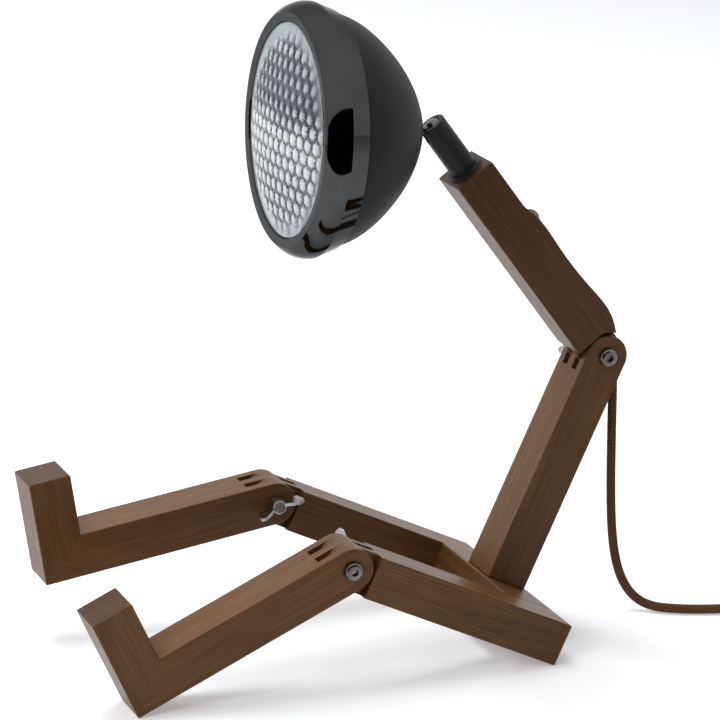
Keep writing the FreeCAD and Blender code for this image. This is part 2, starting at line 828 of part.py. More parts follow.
def head_parts():
    parts = {}
    parts["head_shell"] = shell_part()
    parts["bezel"] = bezel_part()

    lens_radius = ring_opening_radius + lens_rim_width
    rim_front = lens_set_back + gasket_thickness
    rim_back = rim_front + lens_thickness
    dome_radius = ring_opening_radius - part_gap
    crown = rim_front - lens_rise
    curve_radius = (dome_radius ** 2 + lens_rise ** 2) / (2 * lens_rise)
    bend = curve_radius - math.sqrt(curve_radius ** 2 - dome_radius ** 2 / 4)
    lens_edges = [
        profile_line((crown, 0), (crown + lens_thickness, 0)),
        profile_arc((crown + lens_thickness, 0), (crown + lens_thickness + bend, dome_radius / 2),
                    (rim_back, dome_radius)),
        profile_line((rim_back, dome_radius), (rim_back, lens_radius)),
        profile_line((rim_back, lens_radius), (rim_front, lens_radius)),
        profile_line((rim_front, lens_radius), (rim_front, dome_radius)),
        profile_arc((rim_front, dome_radius), (crown + bend, dome_radius / 2), (crown, 0)),
    ]
    parts["lens"] = revolved(lens_edges)

    ring = rod(lens_radius, head_axis(lens_set_back + part_gap), head_axis(rim_front))
    opening = rod(ring_opening_radius + part_gap, head_axis(0), head_axis(rim_back))
    parts["lens_gasket"] = ring.cut(opening)

    rim = rim_back + part_gap
    throat = rim + reflector_depth
    wide = lens_radius - reflector_inset
    wall = reflector_wall
    swell = (rim + reflector_swell_depth, wide - reflector_swell_inset)
    outer_swell = (swell[0] + wall / math.sqrt(2), swell[1] + wall / math.sqrt(2))
    reflector_edges = [
        profile_arc((rim, wide - wall), swell, (throat, reflector_throat_radius)),
        profile_line((throat, reflector_throat_radius), (throat + wall, reflector_throat_radius)),
        profile_arc((throat + wall, reflector_throat_radius), outer_swell, (rim + wall, wide)),
        profile_line((rim + wall, wide), (rim + wall, lens_radius)),
        profile_line((rim + wall, lens_radius), (rim, lens_radius)),
        profile_line((rim, lens_radius), (rim, wide - wall)),
    ]
    parts["reflector"] = revolved(reflector_edges)

    board_front = throat + wall + part_gap
    board_back = board_front + board_thickness
    sink_back = board_back + heat_sink_length
    parts["led_board"] = rod(board_radius, head_axis(board_front), head_axis(board_back))
    parts["led_chip"] = rod(chip_radius, head_axis(board_front - chip_height), head_axis(board_front))
    parts["heat_sink"] = heat_sink(board_back, sink_back)
    parts["lens_clips"] = lens_clips(rim_front, rim + wall, lens_radius)
    return parts


def head_axis(depth):
    """Return the point on the head's axis at a depth behind the front plane."""
    return head_point(depth, 0)


def heat_sink(front, back):
    """Return the finned disc behind the light, bored to clear the stud's end."""
    core = rod(heat_sink_core_radius, head_axis(front), head_axis(back))
    plate = rod(heat_sink_radius, head_axis(front), head_axis(front + heat_sink_plate))
    half_fin = heat_sink_fin_thickness / 2
    fins = []
    for index in range(heat_sink_fins):
        fin = box((-half_fin, head_axis(front).y, heat_sink_bore_radius),
                  (half_fin, head_axis(back).y, heat_sink_radius))
        fin.rotate(ZERO, Y_AXIS, 360 * index / heat_sink_fins)
        fins.append(fin)
    sink = core.fuse([plate] + fins).removeSplitter()
    bore_floor = head_axis(front + heat_sink_bore_floor)
    return sink.cut(rod(heat_sink_bore_radius, bore_floor, head_axis(back + 1)))


def lens_clips(front, back, radius):
    """Return the bent clips that press the lens and reflector into the bezel."""
    clips = []
    half_clip = lens_clip_width / 2
    outer = radius + part_gap + lens_clip_thickness
    hook = back + part_gap
    end = hook + lens_clip_thickness
    for index in range(clip_count):
        arm = box((-half_clip, head_axis(front).y, radius + part_gap),
                  (half_clip, head_axis(end).y, outer))
        foot = box((-half_clip, head_axis(hook).y, radius - lens_clip_hook),
                   (half_clip, head_axis(end).y, outer))
        clip = arm.fuse(foot).removeSplitter()
        clip.rotate(ZERO, Y_AXIS, lens_clip_turn + 360 * index / clip_count)
        clips.append(clip)
    return Part.makeCompound(clips)


# Mains cord

def tube_along(points, radius):
    """Sweep a round tube along straight runs joined by tangent arcs, and print its radii."""
    edges = []
    start = points[0]
    length = 0.0
    for before, corner, after in zip(points, points[1:], points[2:]):
        back = before - corner
        ahead = after - corner
        run = 0.45 * min(back.Length, ahead.Length)
        back.normalize()
        ahead.normalize()
        half_turn = (math.pi - back.getAngle(ahead)) / 2
        arc_radius = run / math.tan(half_turn)
        first = corner + back * run
        last = corner + ahead * run
        bisector = back + ahead
        bisector.normalize()
        centre = corner + bisector * (arc_radius / math.cos(half_turn))
        middle = centre - bisector * arc_radius
        edges.append(Part.LineSegment(start, first).toShape())
        edges.append(Part.Arc(first, middle, last).toShape())
        print("cord arc radius %.1f, turn %.0f degrees" % (arc_radius, math.degrees(2 * half_turn)))
        start = last
    edges.append(Part.LineSegment(start, points[-1]).toShape())
    path = Part.Wire(edges)
    first_run = points[1] - points[0]
    section = Part.Wire(Part.makeCircle(radius, points[0], first_run))
    tube = path.makePipeShell([section], True, False)
    expected = math.pi * radius ** 2 * path.Length
    print("cord tube length %.1f, volume ratio %.4f" % (path.Length, tube.Volume / expected))
    return tube


def coil_point(turn):
    """Return the coil's centre line after so many turns: in on one layer, out on the next.

    It is measured from the coil's middle.
    """
    radius = coil_outer_radius - layer_step * (coil_layer_turns - abs(turn - coil_layer_turns))
    climb = min(1.0, max(0.0, 2 * (turn - coil_layer_turns) + 0.5))
    height = coil_height + layer_step * (1 - math.cos(math.pi * climb)) / 2
    angle = math.pi - 2 * math.pi * turn
    return V(radius * math.cos(angle), radius * math.sin(angle), height)


def coil_tangent(turn):
    """Return the unit direction of the coil's centre line."""
    step = 0.001
    low = max(0.0, turn - step)
    high = min(float(coil_turns), turn + step)
    if turn in (0, coil_turns):
        return Y_AXIS
    direction = coil_point(high) - coil_point(low)
    direction.normalize()
    return direction


def arc_from(start, direction, end):
    """Return the arc that leaves start in a direction and passes through end."""
    chord = end - start
    unit = V(chord)
    unit.normalize()
    side = direction - unit * direction.dot(unit)
    if side.Length < 1e-6:
        return Part.LineSegment(start, end).toShape()
    side.normalize()
    rise = chord.Length / 2 * math.tan(direction.getAngle(chord) / 2)
    return Part.Arc(start, start + chord * 0.5 + side * rise, end).toShape()


def biarc(start, start_direction, end, end_direction):
    """Return two arcs that join smoothly between two points and directions."""
    span = end - start
    total = start_direction + end_direction
    spread = 2 * (1 - start_direction.dot(end_direction))
    along = span.dot(total)
    reach = (math.sqrt(along ** 2 + spread * span.dot(span)) - along) / spread
    middle = (start + end + (start_direction - end_direction) * reach) * 0.5
    first = arc_from(start, start_direction, middle)
    last = arc_from(end, end_direction * -1, middle)
    turned = Part.Arc(middle, last.valueAt((last.FirstParameter + last.LastParameter) / 2), end)
    return [first, turned.toShape()]


def coil_part():
    """Wind the cord's spare length about the origin, with a straight end of one diameter each way."""
    straight = V(0, 2 * cord_radius, 0)
    quarters = [index / 4 for index in range(4 * coil_turns + 1)]
    begin = coil_point(0) - straight
    finish = coil_point(coil_turns) + straight
    edges = [Part.LineSegment(begin, coil_point(0)).toShape()]
    for low, high in zip(quarters, quarters[1:]):
        edges += biarc(coil_point(low), coil_tangent(low), coil_point(high), coil_tangent(high))
    edges.append(Part.LineSegment(coil_point(coil_turns), finish).toShape())
    path = Part.Wire(edges)
    section = Part.Wire(Part.makeCircle(cord_radius, begin, Y_AXIS))
    coil = path.makePipeShell([section], True, False)
    expected = math.pi * cord_radius ** 2 * path.Length
    print("coil length %.1f, volume ratio %.4f" % (path.Length, coil.Volume / expected))
    print("coil least gap %.2f" % least_gap(path))
    return coil, begin, finish


def least_gap(path):
    """Return the least gap between turns, measured on points of the centre line."""
    count = 1200
    points = path.discretize(count)
    skip = int(count * 5 * cord_radius / path.Length) + 1
    least = path.Length
    for index, point in enumerate(points):
        for other in points[index + skip:]:
            least = min(least, (point - other).Length)
    return least - 2 * cord_radius


def coil_tie():
    """Return the band round the coil's turns, on the side away from its ends."""
    reach = cord_radius + tie_clearance
    low = V(coil_outer_radius - layer_step * coil_layer_turns - reach, -tie_width / 2, tie_thickness)
    high_z = coil_height + layer_step + cord_radius + coil_floor_gap
    high = V(coil_outer_radius - layer_step / 2 + reach, tie_width / 2, high_z)
    wall = V(tie_thickness, 0, tie_thickness)
    band = box(low - wall, high + wall)
    return band.cut(box(low - V(0, 1, 0), high + V(0, 1, 0)))


def cord_parts(waist):
    """Return the cord, its gland, tie and plug, given the waist pin's place."""
    parts = {}
    axis = V(0, waist.y + cord_behind_pin, waist.z)
    gland_foot = axis + V(0, 0, gland_bottom)
    gland_head = axis + V(0, 0, gland_top)
    parts["cord_gland"] = cone(gland_bottom_radius, gland_top_radius, gland_foot, gland_head)

    centre = V(coil_from_waist[0], waist.y + coil_from_waist[1], 0)
    coil, begin, finish = coil_part()
    begin += centre
    finish += centre
    hanging = [gland_foot]
    for across, behind, share in hanging_way:
        hanging.append(V(across, axis.y + behind, gland_foot.z * share))
    for across, behind, height in landing_way:
        hanging.append(V(across, axis.y + behind, cord_floor + height))
    hanging.append(begin + V(coil_approach[0], coil_approach[1], 0))
    hanging.append(begin)
    parts["cord_lead"] = tube_along(hanging, cord_radius)
    parts["cord_coil"] = moved(coil, centre)
    parts["cord_tie"] = moved(coil_tie(), centre)

    plug_rear = V(begin.x + plug_from_coil[0], begin.y + plug_from_coil[1], plug_thickness / 2)
    tail = [finish]
    for offset in leaving_way:
        tail.append(finish + V(*offset))
    for across, along, height in tail_way:
        tail.append(V(finish.x + across, finish.y + along, cord_floor + height))
    for offset in plug_approach:
        tail.append(plug_rear + V(*offset))
    tail.append(plug_rear)
    parts["cord_tail"] = tube_along(tail, cord_radius)
    parts.update(plug_parts(plug_rear))
    return parts


def plug_parts(rear):
    """Return a flat two pin mains plug, lying down, entered by the cord at rear."""
    parts = {}
    root = rear + V(0, plug_relief_length, 0)
    front = root + V(0, plug_length, 0)
    half = plug_width / 2
    neck = plug_neck_width / 2
    low = root.z - plug_thickness / 2
    outline = [
        V(rear.x - neck, root.y, low),
        V(rear.x - half, root.y + plug_shoulder, low),
        V(rear.x - half, front.y, low),
        V(rear.x + half, front.y, low),
        V(rear.x + half, root.y + plug_shoulder, low),
        V(rear.x + neck, root.y, low),
        V(rear.x - neck, root.y, low),
    ]
    body = Part.Face(Part.makePolygon(outline)).extrude(V(0, 0, plug_thickness))
    body = body.makeFillet(plug_round, body.Edges)
    relief = cone(plug_relief_end_radius, plug_relief_radius, rear, root + V(0, 2 * plug_round, 0))
    body = body.fuse(relief)
    pins = []
    for side in (-1, 1):
        foot = front + V(side * plug_pin_spacing / 2, 0, 0)
        hidden = foot - V(0, plug_pin_root_length, 0)
        body = body.cut(rod(plug_pin_root_radius + dowel_clearance, hidden, foot + Y_AXIS))
        shoulder = foot + V(0, part_gap, 0)
        end = foot + V(0, plug_pin_length, 0)
        pin = rod(plug_pin_radius, shoulder, end)
        tip = [edge for edge in pin.Edges if abs(edge.BoundBox.YMin - end.y) < 0.001]
        pin = pin.makeFillet(plug_pin_round, tip)
        pins.append(pin.fuse(rod(plug_pin_root_radius, hidden, shoulder)))
    parts["plug_body"] = body.removeSplitter()
    parts["plug_pins"] = Part.makeCompound(pins)
    return parts


def left_knee_bend(knee):
    """Return the bend that rests the left heel on the floor, given the knee's place."""
    reach = math.hypot(shin_reach, half_thickness)
    droop = math.asin(knee.z / reach) - math.atan2(half_thickness, shin_reach)
    return math.degrees(droop) + base_pitch


def build():
    """Pose every group of parts and return the solids with the joints' places."""
    shapes = {}
    pivots = {}
    base, knee, post_pin = base_parts()
    for name, shape in base.items():
        shapes[name] = tilted(shape, -base_pitch)
    waist = tilted_point(post_pin, -base_pitch)
    knee = tilted_point(knee, -base_pitch)
    pivots["waist"] = waist
    shapes["waist_wing_nut"] = moved(wing_nut(waist_nut_turn), waist)

    bends = {"left": left_knee_bend(knee), "right": right_knee_bend}
    print("left knee bend %.2f" % bends["left"])
    legs = (("left", 1, left_knee_nut_turn), ("right", -1, right_knee_nut_turn))
    for side, sign, nut_turn in legs:
        place = knee + V(sign * leg_offset, 0, 0)
        pivots["knee_" + side] = place
        for name, shape in shin_parts().items():
            if sign < 0:
                shape = shape.mirror(ZERO, X_AXIS)
            shapes[name + "_" + side] = moved(tilted(shape, bends[side] - base_pitch), place)
        nut = wing_nut(nut_turn)
        if sign < 0:
            nut = nut.mirror(ZERO, X_AXIS)
        shapes["knee_wing_nut_" + side] = moved(nut, place)

    for name, shape in list(chest_parts().items()) + list(neck_parts().items()):
        shapes[name] = moved(tilted(shape, chest_lean), waist)
    ball = waist + tilted_point(V(0, 0, ball_height), chest_lean)
    pivots["ball"] = ball
    for name, shape in list(ball_parts().items()) + list(head_parts().items()):
        shapes[name] = moved(tilted(shape, -head_tilt), ball)
    pivots["head_front"] = ball + tilted_point(head_axis(0), -head_tilt)
    switch = V(0, chest_back_depth(switch_height), switch_height)
    pivots["switch"] = waist + tilted_point(switch, chest_lean)
    pivots["seat_underside"] = tilted_point(V(0, -seat_depth / 2, 0), -base_pitch)
    return shapes, cord_parts(waist), pivots


def export(shapes, cord, pivots):
    """Put the origin under the middle of the lamp's box, and write one file per node."""
    lamp_box = FreeCAD.BoundBox()
    for shape in shapes.values():
        lamp_box.add(shape.optimalBoundingBox(False, False))
    shift = V(-lamp_box.Center.x, -lamp_box.Center.y, -lamp_box.ZMin)
    cord_shift = V(shift.x, shift.y, 0)
    os.makedirs("parts", exist_ok=True)
    for name, shape in shapes.items():
        moved(shape, shift).exportStep("parts/" + name + ".step")
    for name, shape in cord.items():
        moved(shape, cord_shift).exportStep("parts/" + name + ".step")
    print("shift %.4f %.4f %.4f" % tuple(shift))
    print("lamp box %.2f %.2f %.2f" % (lamp_box.XLength, lamp_box.YLength, lamp_box.ZLength))
    for name, place in pivots.items():
        print("place %s %.4f %.4f %.4f" % ((name,) + tuple(place + shift)))
    for name, shape in list(shapes.items()) + list(cord.items()):
        facts = (name, shape.isValid(), len(shape.Solids), shape.Volume)
        print("%s valid %s solids %d volume %.1f" % facts)


export(*build())
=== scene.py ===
import json
import math

import bmesh
import bpy
from mathutils import Matrix, Vector

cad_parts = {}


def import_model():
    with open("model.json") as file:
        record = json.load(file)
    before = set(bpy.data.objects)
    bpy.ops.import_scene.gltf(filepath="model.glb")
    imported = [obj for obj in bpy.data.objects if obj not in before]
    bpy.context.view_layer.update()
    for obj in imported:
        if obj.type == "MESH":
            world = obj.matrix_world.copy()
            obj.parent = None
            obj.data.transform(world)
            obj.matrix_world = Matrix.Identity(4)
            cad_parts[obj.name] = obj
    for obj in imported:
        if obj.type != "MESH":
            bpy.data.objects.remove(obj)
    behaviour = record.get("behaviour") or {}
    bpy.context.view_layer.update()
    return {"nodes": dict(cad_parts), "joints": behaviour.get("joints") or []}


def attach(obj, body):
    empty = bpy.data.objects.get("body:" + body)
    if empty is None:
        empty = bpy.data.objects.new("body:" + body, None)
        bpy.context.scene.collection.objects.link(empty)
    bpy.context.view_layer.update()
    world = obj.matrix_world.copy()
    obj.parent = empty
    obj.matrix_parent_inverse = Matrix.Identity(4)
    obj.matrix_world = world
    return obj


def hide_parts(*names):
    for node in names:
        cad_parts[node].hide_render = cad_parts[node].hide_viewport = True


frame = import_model()
nodes = frame["nodes"]
joints = {joint["name"]: joint for joint in frame["joints"]}

# Places and directions that the frame gives, in metres
WAIST = Vector(joints["waist_fold"]["pos_m"])
BALL = Vector(joints["head_tilt"]["pos_m"])
LEFT_KNEE = Vector(joints["left_knee_fold"]["pos_m"])
RIGHT_KNEE = Vector(joints["right_knee_fold"]["pos_m"])
BASE_PITCH = math.radians(25.0)
CHEST_LEAN = math.radians(36.5)
HEAD_TILT = math.radians(3.8)
LEFT_BEND = math.radians(49.7)
RIGHT_BEND = math.radians(33.8)
FRONT_FROM_BALL = 0.087


# Node helpers

class Nodes:
    """A short way to build a material's node tree."""

    def __init__(self, name):
        self.material = bpy.data.materials.new(name)
        self.material.use_nodes = True
        self.tree = self.material.node_tree
        self.tree.nodes.clear()
        self.output = self.tree.nodes.new("ShaderNodeOutputMaterial")
        self.shader = self.tree.nodes.new("ShaderNodeBsdfPrincipled")
        self.link(self.shader.outputs["BSDF"], self.output.inputs["Surface"])

    def link(self, source, target):
        self.tree.links.new(source, target)

    def plug(self, value, socket):
        """Link a socket, or set a colour or a number."""
        if isinstance(value, bpy.types.NodeSocket):
            self.link(value, socket)
        elif isinstance(value, tuple):
            socket.default_value = (*value, 1.0)
        elif value is not None:
            socket.default_value = value

    def coords(self, turn_x=0.0, centre=(0, 0, 0)):
        """Object coordinates in a limb's own frame: moved to its pivot, then turned back."""
        source = self.tree.nodes.new("ShaderNodeTexCoord")
        shift = self.tree.nodes.new("ShaderNodeMapping")
        shift.inputs["Location"].default_value = [-value for value in centre]
        self.link(source.outputs["Object"], shift.inputs["Vector"])
        turn = self.tree.nodes.new("ShaderNodeMapping")
        turn.inputs["Rotation"].default_value = (-turn_x, 0, 0)
        self.link(shift.outputs["Vector"], turn.inputs["Vector"])
        return turn.outputs["Vector"]

    def facing(self, turn_x):
        """The surface's own direction in a limb's frame."""
        source = self.tree.nodes.new("ShaderNodeTexCoord")
        turn = self.tree.nodes.new("ShaderNodeMapping")
        turn.inputs["Rotation"].default_value = (-turn_x, 0, 0)
        self.link(source.outputs["Normal"], turn.inputs["Vector"])
        return turn.outputs["Vector"]

    def scaled(self, vector, scale, offset=(0, 0, 0)):
        node = self.tree.nodes.new("ShaderNodeMapping")
        node.inputs["Scale"].default_value = scale
        node.inputs["Location"].default_value = offset
        self.link(vector, node.inputs["Vector"])
        return node.outputs["Vector"]

    def noise(self, vector, density, offset=(0, 0, 0), detail=3.0, roughness=0.5):
        """Noise with this many patches per metre, the same along every axis or one value for each."""
        if not isinstance(density, tuple):
            density = (density, density, density)
        node = self.tree.nodes.new("ShaderNodeTexNoise")
        node.inputs["Scale"].default_value = 1.0
        node.inputs["Detail"].default_value = detail
        node.inputs["Roughness"].default_value = roughness
        self.link(self.scaled(vector, density, offset), node.inputs["Vector"])
        return node.outputs["Fac"]

    def attribute(self, name):
        node = self.tree.nodes.new("ShaderNodeAttribute")
        node.attribute_name = name
        return node.outputs["Fac"]

    def math(self, operation, first, second=None, third=None):
        node = self.tree.nodes.new("ShaderNodeMath")
        node.operation = operation
        self.plug(first, node.inputs[0])
        self.plug(second, node.inputs[1])
        self.plug(third, node.inputs[2])
        return node.outputs[0]

    def length(self, first, second):
        """The length of a flat vector that has these two parts."""
        squares = self.math("ADD", self.math("MULTIPLY", first, first), self.math("MULTIPLY", second, second))
        return self.math("SQRT", squares)

    def split(self, vector):
        node = self.tree.nodes.new("ShaderNodeSeparateXYZ")
        self.link(vector, node.inputs[0])
        return node.outputs

    def join(self, x, y, z):
        node = self.tree.nodes.new("ShaderNodeCombineXYZ")
        self.plug(x, node.inputs[0])
        self.plug(y, node.inputs[1])
        self.plug(z, node.inputs[2])
        return node.outputs[0]

    def ramp(self, value, stops):
        """Colours at places from 0 to 1."""
        node = self.tree.nodes.new("ShaderNodeValToRGB")
        ramp = node.color_ramp
        while len(ramp.elements) < len(stops):
            ramp.elements.new(0.5)
        for element, (place, colour) in zip(ramp.elements, stops):
            element.position = place
            element.color = (*colour, 1.0)
        self.link(value, node.inputs["Fac"])
        return node.outputs["Color"]

    def span(self, value, low, high, to_low=0.0, to_high=1.0):
        """Stretch a range of a value to another one, and hold it at both ends."""
        node = self.tree.nodes.new("ShaderNodeMapRange")
        node.inputs["From Min"].default_value = low
        node.inputs["From Max"].default_value = high
        node.inputs["To Min"].default_value = to_low
        node.inputs["To Max"].default_value = to_high
        self.link(value, node.inputs["Value"])
        return node.outputs["Result"]

    def mix(self, factor, first, second, mode="MIX"):
        node = self.tree.nodes.new("ShaderNodeMix")
        node.data_type = "RGBA"
        node.blend_type = mode
        self.plug(factor, node.inputs[0])
        self.plug(first, node.inputs[6])
        self.plug(second, node.inputs[7])
        return node.outputs[2]

    def bump(self, height, strength, distance):
        node = self.tree.nodes.new("ShaderNodeBump")
        node.inputs["Strength"].default_value = strength
        node.inputs["Distance"].default_value = distance
        self.link(height, node.inputs["Height"])
        self.link(node.outputs["Normal"], self.shader.inputs["Normal"])

    def set(self, **values):
        """Fill the shader's sockets, named with _ for a space."""
        for name, value in values.items():
            self.plug(value, self.shader.inputs[name.replace("_", " ")])


def paint(name, material):
    """Give a CAD node one material."""
    mesh = nodes[name].data
    mesh.materials.clear()
    mesh.materials.append(material)


def placed(name, data):
    """Put new data into the scene as an object."""
    thing = bpy.data.objects.new(name, data)
    bpy.context.scene.collection.objects.link(thing)
    return thing


def smooth_piece(name, form):
    """Make a smooth object of a finished form."""
    bmesh.ops.recalc_face_normals(form, faces=form.faces)
    data = bpy.data.meshes.new(name)
    form.to_mesh(data)
    form.free()
    for polygon in data.polygons:
        polygon.use_smooth = True
    return placed(name, data)


# Smoked timber: x runs across a limb, y along its grain, z through its thickness

STAIN_DARK = (0.080, 0.0330, 0.0088)
STAIN_MIDDLE = (0.112, 0.0485, 0.0135)
STAIN_LIGHT = (0.160, 0.0770, 0.0240)
OPEN_PORES = (0.032, 0.0135, 0.0050)
TOP_LINES = 0.95
# Painted light: how much lighter the tops and other faces are painted than the sawn sides
TOP_PAINTED_LIGHT = 1.35
END_SHADE = 0.5


def along_grain(tree, vector, grain):
    """Reorder a vector's parts so that the second one runs along the grain."""
    if grain == "y":
        return vector
    x, y, z = tree.split(vector)
    return tree.join(x, z, y) if grain == "z" else tree.join(y, x, z)


def timber(limb, turn, pivot, seed, grain, pith, side_lines, tone, rings):
    """Give a limb timber with its pith at a place across it and so many rings per metre."""
    tree = Nodes("timber_" + limb)
    facing = along_grain(tree, tree.facing(turn), grain)
    local = along_grain(tree, tree.coords(turn, pivot), grain)
    local = tree.scaled(local, (1, 1, 1), (0, seed * 0.37, 0))
    # The growth rings are cylinders about a pith outside the limb, bent slowly along it
    sway = tree.noise(local, (9, 3.2, 9), (seed, 0, seed), detail=2.0)
    fine = tree.noise(local, (60, 7, 60), (0, seed, 0), detail=2.0, roughness=0.55)
    x, _, z = tree.split(local)
    off_x = tree.math("SUBTRACT", x, pith[0])
    off_z = tree.math("SUBTRACT", z, pith[1])
    bent = tree.math("MULTIPLY_ADD", sway, 0.009, tree.length(off_x, off_z))
    bent = tree.math("MULTIPLY_ADD", fine, 0.0016, bent)
    ring = tree.math("FRACT", tree.math("MULTIPLY", bent, rings))
    # Early wood starts each ring with a band of dark open pores and then closes up
    early = tree.ramp(ring, [(0.0, (1, 1, 1)), (0.18, (0.9, 0.9, 0.9)), (0.40, (0.1, 0.1, 0.1)),
                             (0.93, (0, 0, 0)), (1.0, (1, 1, 1))])
    pores = tree.noise(local, (1500, 70, 1500), (seed, seed, 0), detail=2.0, roughness=0.6)
    pores = tree.span(pores, 0.53, 0.66)
    fibre = tree.noise(local, (800, 18, 800), (0, 0, seed), detail=4.0, roughness=0.6)
    fleck = tree.noise(local, (240, 26, 240), (seed, 0, 0), roughness=0.6)
    cloud = tree.noise(local, (26, 8, 26), (seed, seed, seed))
    dark_lines = tree.math("MULTIPLY", early, tree.math("MULTIPLY_ADD", pores, 0.5, 0.5))
    mottle = tree.math("MULTIPLY_ADD", fibre, 0.62, tree.math("MULTIPLY", fleck, 0.38))
    base = tree.ramp(mottle, [(0.30, STAIN_DARK), (0.50, STAIN_MIDDLE), (0.70, STAIN_LIGHT)])
    # Lines are faint on the sawn sides, and the ends soak up more stain. Painted light: every face but the
    # two sawn sides, the tops above all, is painted lighter, as if lit from above
    across, along, _ = tree.split(facing)
    sideways = tree.math("ABSOLUTE", across)
    lines = tree.span(sideways, 0.5, 0.8, TOP_LINES, side_lines)
    lift = tree.span(sideways, 0.5, 0.8, TOP_PAINTED_LIGHT, 1.0)
    end = tree.span(tree.math("ABSOLUTE", along), 0.6, 0.9, 1.0, END_SHADE)
    base = tree.mix(tree.math("MULTIPLY", dark_lines, lines), base, OPEN_PORES)
    shade = tree.math("MULTIPLY", tree.span(cloud, 0.3, 0.7, 0.88, 1.12), end)
    shade = tree.math("MULTIPLY", shade, lift)
    shade = tree.math("MULTIPLY", shade, tone)
    base = tree.mix(1.0, base, tree.join(shade, shade, shade), "MULTIPLY")
    tree.set(Base_Color=base, Roughness=tree.span(mottle, 0.3, 0.7, 0.46, 0.34), Specular_IOR_Level=0.22)
    height = tree.math("MULTIPLY_ADD", dark_lines, -0.8, tree.math("MULTIPLY", fibre, 0.35))
    tree.bump(height, 0.35, 0.0002)
    paint(limb, tree.material)


LEFT_LEG = LEFT_BEND - BASE_PITCH
RIGHT_LEG = RIGHT_BEND - BASE_PITCH
# Each limb's tone scales its colour. Painted shade: the right leg's thigh, shin and foot take lower tones
# than the left's, painting the far leg darker as if in shade
timber("thigh_left", -BASE_PITCH, LEFT_KNEE, seed=1.0, grain="y", pith=(0.020, -0.090),
       side_lines=0.62, tone=1.06, rings=480.0)
timber("thigh_right", -BASE_PITCH, RIGHT_KNEE, seed=2.3, grain="y", pith=(0.020, -0.095),
       side_lines=0.15, tone=0.78, rings=300.0)
timber("seat_crossbar", -BASE_PITCH, LEFT_KNEE, seed=3.1, grain="x", pith=(0.030, -0.040),
       side_lines=0.6, tone=0.85, rings=300.0)
timber("back_post", -BASE_PITCH, WAIST, seed=4.2, grain="z", pith=(-0.090, 0.010),
       side_lines=0.15, tone=0.88, rings=330.0)
timber("shin_left", LEFT_LEG, LEFT_KNEE, seed=5.4, grain="y", pith=(-0.085, 0.012),
       side_lines=0.12, tone=1.02, rings=290.0)
timber("foot_left", LEFT_LEG, LEFT_KNEE, seed=6.6, grain="z", pith=(-0.090, -0.125),
       side_lines=0.2, tone=1.0, rings=280.0)
timber("shin_right", RIGHT_LEG, RIGHT_KNEE, seed=7.7, grain="y", pith=(-0.095, 0.010),
       side_lines=0.15, tone=0.92, rings=300.0)
timber("foot_right", RIGHT_LEG, RIGHT_KNEE, seed=8.9, grain="z", pith=(-0.085, -0.125),
       side_lines=0.2, tone=0.92, rings=280.0)
timber("chest_block", CHEST_LEAN, WAIST, seed=9.5, grain="z", pith=(0.015, -0.085),
       side_lines=0.6, tone=0.72, rings=470.0)
timber("foot_plug_left", LEFT_LEG, LEFT_KNEE, seed=10.2, grain="z", pith=(0.026, -0.160),
       side_lines=0.3, tone=0.9, rings=280.0)
timber("foot_plug_right", RIGHT_LEG, RIGHT_KNEE, seed=11.2, grain="z", pith=(0.026, -0.160),
       side_lines=0.3, tone=0.9, rings=280.0)


def beech():
    """Pale dowel timber."""
    tree = Nodes("beech_dowel")
    local = tree.coords()
    grain = tree.noise(local, (90, 900, 900))
    base = tree.ramp(grain, [(0.3, (0.42, 0.27, 0.15)), (0.7, (0.62, 0.44, 0.27))])
    tree.set(Base_Color=base, Roughness=0.6)
    tree.bump(grain, 0.3, 0.0001)
    return tree.material


# Metals, plastics and rubber

def steel(name, colour, roughness, grime):
    """Metal with fine scratches, and patches darkened to the share called grime."""
    tree = Nodes(name)
    local = tree.coords()
    scratch = tree.noise(local, 400, detail=4.0, roughness=0.6)
    patch = tree.noise(local, 90)
    dark = tuple(value * grime for value in colour)
    base = tree.mix(tree.span(patch, 0.35, 0.65), colour, dark)
    tree.set(Base_Color=base, Metallic=1.0,
             Roughness=tree.span(scratch, 0.3, 0.7, roughness * 0.75, roughness * 1.35))
    tree.bump(scratch, 0.18, 0.00005)
    return tree.material


def plastic(name, colour, roughness, coat=0.0, grain=1400.0, depth=0.00004, gloss=0.35):
    """Moulded or painted skin with a grain of so many specks per metre."""
    tree = Nodes(name)
    local = tree.coords()
    skin = tree.noise(local, grain, roughness=0.6)
    patch = tree.noise(local, 45)
    light = tuple(min(1.0, value * 1.35 + 0.004) for value in colour)
    base = tree.mix(tree.span(patch, 0.35, 0.65), colour, light)
    tree.set(Base_Color=base, Roughness=tree.span(skin, 0.3, 0.7, roughness * 0.85, roughness * 1.15),
             Coat_Weight=coat, Coat_Roughness=0.08, Specular_IOR_Level=gloss)
    tree.bump(skin, 0.3, depth)
    return tree.material


dark_steel = steel("dark_steel", (0.20, 0.185, 0.172), 0.24, grime=0.55)
plated_steel = steel("plated_steel", (0.47, 0.46, 0.45), 0.26, grime=0.5)
aluminium = steel("bright_aluminium", (0.83, 0.83, 0.84), 0.16, grime=0.92)
brass = steel("plug_pin_metal", (0.80, 0.76, 0.68), 0.2, grime=0.9)
rubber = plastic("black_rubber", (0.018, 0.018, 0.018), 0.72, grain=900)
black_plastic = plastic("black_plastic", (0.020, 0.020, 0.021), 0.42, grain=2200)
cup_plastic = plastic("cup_plastic", (0.05, 0.05, 0.05), 0.5)
button_plastic = plastic("button_plastic", (0.012, 0.012, 0.013), 0.22, coat=0.4, grain=2600, depth=0.00001)
board_plastic = plastic("board_laminate", (0.02, 0.07, 0.035), 0.45)
sheath = plastic("lead_sheath", (0.6, 0.6, 0.57), 0.5)
neck_paint = plastic("neck_black_metal", (0.019, 0.019, 0.0205), 0.36, grain=3000, depth=0.00001, gloss=0.1)
chip_phosphor = plastic("led_phosphor", (0.75, 0.62, 0.16), 0.35, coat=0.5)
ring_metal = steel("switch_ring_metal", (0.16, 0.16, 0.165), 0.22, grime=0.7)

